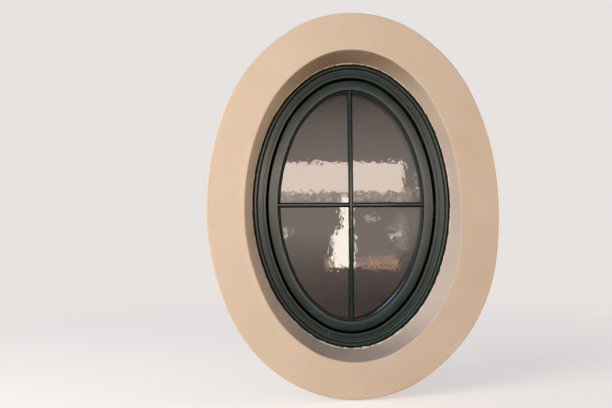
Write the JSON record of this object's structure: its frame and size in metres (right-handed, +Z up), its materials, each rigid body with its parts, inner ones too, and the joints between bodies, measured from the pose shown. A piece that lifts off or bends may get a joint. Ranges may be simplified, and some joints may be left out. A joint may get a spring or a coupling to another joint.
{
  "type": "oval porthole window",
  "caption": "Upright oval window: an inward-opening timber sash with glazing bars in a moulded frame, behind a broad cast surround, with pin hinges and a turn latch.",
  "frame": {"origin": "centre of the oval, in the plane of the timber frame's front, 4 mm outside the wall's face", "axes": "+Z up along the oval's long axis, +Y from outside to inside, +X to the right seen from outside"},
  "size_m": [0.9298, 0.1843, 1.2378],
  "materials": {
    "cast_stone": "matt, trowelled",
    "painted_timber": "satin paint, dark green, weathered",
    "galvanised_steel": "galvanised",
    "hinge_steel": "satin",
    "patterned_glass": "wavy cast pattern",
    "clear_glass": "clear",
    "spacer": "mill, with dark sealant",
    "block_plastic": "matt",
    "handle_brass": "satin, tarnished"
  },
  "bodies": {
    "fixed": {"surround": "cast_stone", "outer_frame": "painted_timber", "wall_straps": "galvanised_steel", "hinge_frame_halves": "hinge_steel", "strike_plate": "hinge_steel"},
    "opening_sash": {"sash": "painted_timber", "outer_pane": "patterned_glass", "spacer_bar": "spacer", "inner_pane": "clear_glass", "setting_blocks": "block_plastic", "glazing_bead": "painted_timber", "outer_upright_bar": "painted_timber", "outer_cross_bars": "painted_timber", "inner_upright_bar": "painted_timber", "inner_cross_bars": "painted_timber", "hinge_sash_halves": "hinge_steel", "latch_case": "hinge_steel", "handle_rose": "handle_brass"},
    "turning_handle": {"latch_tongue": "hinge_steel", "spindle": "hinge_steel", "handle": "handle_brass"}
  },
  "joints": [
    {"name": "sash_swing", "type": "hinge", "parent": "fixed", "child": "opening_sash", "pos_m": [-0.317, 0.08, 0], "axis": [0, 0, 1], "range_deg": [0, 90]},
    {"name": "handle_turn", "type": "hinge", "parent": "opening_sash", "child": "turning_handle", "pos_m": [0.264, 0.0435, 0], "axis": [0, -1, 0], "range_deg": [0, 90]}
  ]
}
